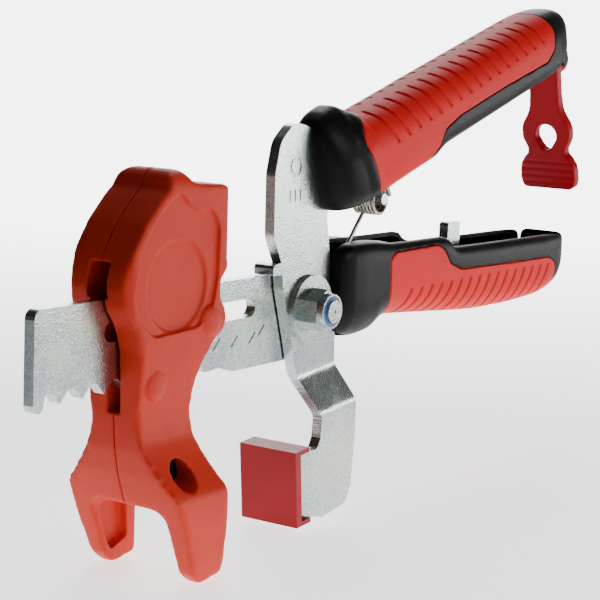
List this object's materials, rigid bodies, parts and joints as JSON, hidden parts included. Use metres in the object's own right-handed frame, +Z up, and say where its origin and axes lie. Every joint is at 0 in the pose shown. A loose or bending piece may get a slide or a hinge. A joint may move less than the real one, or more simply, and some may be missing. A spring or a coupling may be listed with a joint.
{
  "type": "tile levelling traction pliers",
  "caption": "Hand pliers with a toothed steel bar, a sliding two-legged plastic foot and a hinged lever whose capped jaw closes towards the foot; sprung two-colour handles and a hanging strap.",
  "frame": {"origin": "centre of the jaw cap's pressing face with the tool fully open", "axes": "+X along the toothed bar towards the handles, +Z up from the jaw to the bar, -Y towards the nut"},
  "size_m": [0.3276, 0.0464, 0.1863],
  "materials": {
    "zinc_steel": "zinc plated",
    "spring_wire": "satin",
    "bush_metal": "satin",
    "nylon_blue": "satin",
    "black_grip": "satin",
    "red_inlay": "matte",
    "foot_plastic": "fine grain",
    "cap_plastic": "satin",
    "strap_rubber": "matte"
  },
  "bodies": {
    "frame": {"bar_frame": "zinc_steel", "lower_grip_shell": "black_grip", "lower_grip_inlay": "red_inlay", "pivot_bolt": "zinc_steel", "pivot_nut": "zinc_steel", "nut_insert": "nylon_blue", "washer_front": "zinc_steel", "washer_back": "zinc_steel", "pivot_bush": "bush_metal"},
    "lever": {"lever_plate": "zinc_steel", "upper_grip_shell": "black_grip", "upper_grip_inlay": "red_inlay", "jaw_cap": "cap_plastic", "spring_pin": "zinc_steel", "spring_coil": "spring_wire", "spring_leg": "spring_wire"},
    "strap_body": {"strap": "strap_rubber", "strap_pin": "zinc_steel"},
    "foot_carrier": {"slot_guide_pin": "zinc_steel"},
    "foot": {"foot_half_front": "foot_plastic", "foot_half_back": "foot_plastic", "lock_pin": "zinc_steel", "foot_screw": "zinc_steel", "foot_nut": "zinc_steel"}
  },
  "joints": [
    {"name": "squeeze", "type": "hinge", "parent": "frame", "child": "lever", "pos_m": [0.01145, 0, 0.06259], "axis": [0, 1, 0], "range_deg": [0, 15], "stiffness_Nm_per_rad": 1.5, "springref_deg": -20.05},
    {"name": "strap_swing", "type": "hinge", "parent": "lever", "child": "strap_body", "pos_m": [0.18845, 0, 0.15059], "axis": [0, 1, 0], "range_deg": [-45, 0]},
    {"name": "foot_slide", "type": "slide", "parent": "frame", "child": "foot_carrier", "axis": [1, 0, 0], "range_m": [-0.03, 0.03]},
    {"name": "foot_tilt", "type": "hinge", "parent": "foot_carrier", "child": "foot", "pos_m": [-0.05155, 0, 0.06529], "axis": [0, -1, 0], "range_deg": [0, 9.5]}
  ],
  "couplings": [
    {"joint": "strap_swing", "follows": "squeeze", "ratio": -3}
  ]
}
